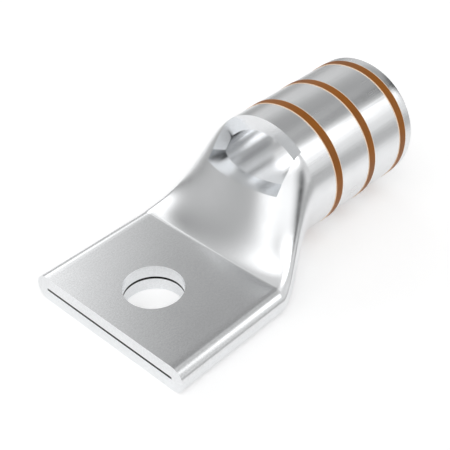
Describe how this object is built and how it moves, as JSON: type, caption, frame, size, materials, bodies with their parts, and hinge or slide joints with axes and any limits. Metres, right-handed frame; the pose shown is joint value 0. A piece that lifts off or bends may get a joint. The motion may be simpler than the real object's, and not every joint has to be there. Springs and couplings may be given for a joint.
{
  "type": "cable lug",
  "caption": "Tinned copper compression lug pressed from a tube: flat tongue with a stud hole, open barrel with an inspection window.",
  "frame": {"origin": "middle of the stud hole on the tongue's contact face", "axes": "+X along the tongue towards the barrel's mouth, +Y across the tongue, +Z away from the contact face"},
  "size_m": [0.0843, 0.044, 0.0317],
  "materials": {
    "tinned_copper": "bright tin plating over copper, satin with soft reflections",
    "band_ink": "brown marking ink, low gloss"
  },
  "bodies": {
    "root": {"lug_body": "tinned_copper", "crimp_band_1": "band_ink", "crimp_band_2": "band_ink", "crimp_band_3": "band_ink"}
  },
  "joints": []
}
